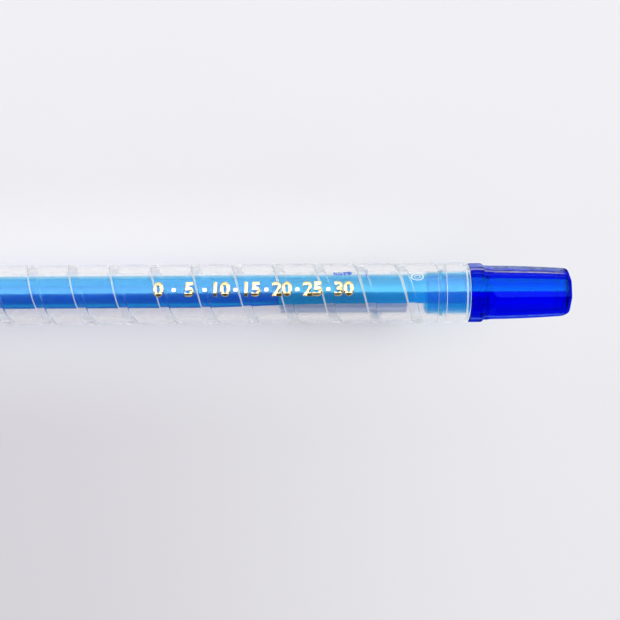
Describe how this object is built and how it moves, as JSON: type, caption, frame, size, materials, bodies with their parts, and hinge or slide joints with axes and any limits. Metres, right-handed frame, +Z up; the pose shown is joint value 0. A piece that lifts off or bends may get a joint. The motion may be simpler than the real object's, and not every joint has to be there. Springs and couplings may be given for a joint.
{
  "type": "twist-up water-soluble marker",
  "caption": "Twist-up marking stick: clear barrel with a helical groove, slotted turning tube, lead carrier with a 3 mm blue lead, nose cone and faceted blue tail knob.",
  "frame": {"origin": "middle of the bounding box's underside: half way along the marker, under its axis, on the surface it lies on", "axes": "+X along the axis from the lead tip towards the tail knob, +Z up from the surface it lies on, +Y across it, away from the slot in the turning tube, which opens towards -Y at rest"},
  "size_m": [0.148, 0.0102, 0.0102],
  "materials": {
    "clear_plastic": "clear moulded polystyrene, polished outside",
    "blue_plastic": "transparent blue, gloss",
    "tube_plastic": "translucent light blue, satin",
    "natural_plastic": "natural polypropylene, slightly milky",
    "lead_wax": "blue water-soluble wax lead, matt"
  },
  "bodies": {
    "barrel_body": {"barrel": "clear_plastic", "nose_cone": "blue_plastic"},
    "rotor": {"slotted_tube": "tube_plastic", "drive_sleeve": "tube_plastic", "tail_knob": "blue_plastic"},
    "carriage": {"lead_carrier": "natural_plastic", "lead": "lead_wax"}
  },
  "joints": [
    {"name": "knob_turn", "type": "hinge", "parent": "barrel_body", "child": "rotor", "pos_m": [0.06, 0, 0.00508], "axis": [-1, 0, 0], "range_deg": [-140, 4205]},
    {"name": "lead_advance", "type": "slide", "parent": "rotor", "child": "carriage", "axis": [-1, 0, 0], "range_m": [-0.0026, 0.0788]}
  ],
  "couplings": [
    {"joint": "knob_turn", "follows": "lead_advance", "rad_per_m": 930.84}
  ]
}
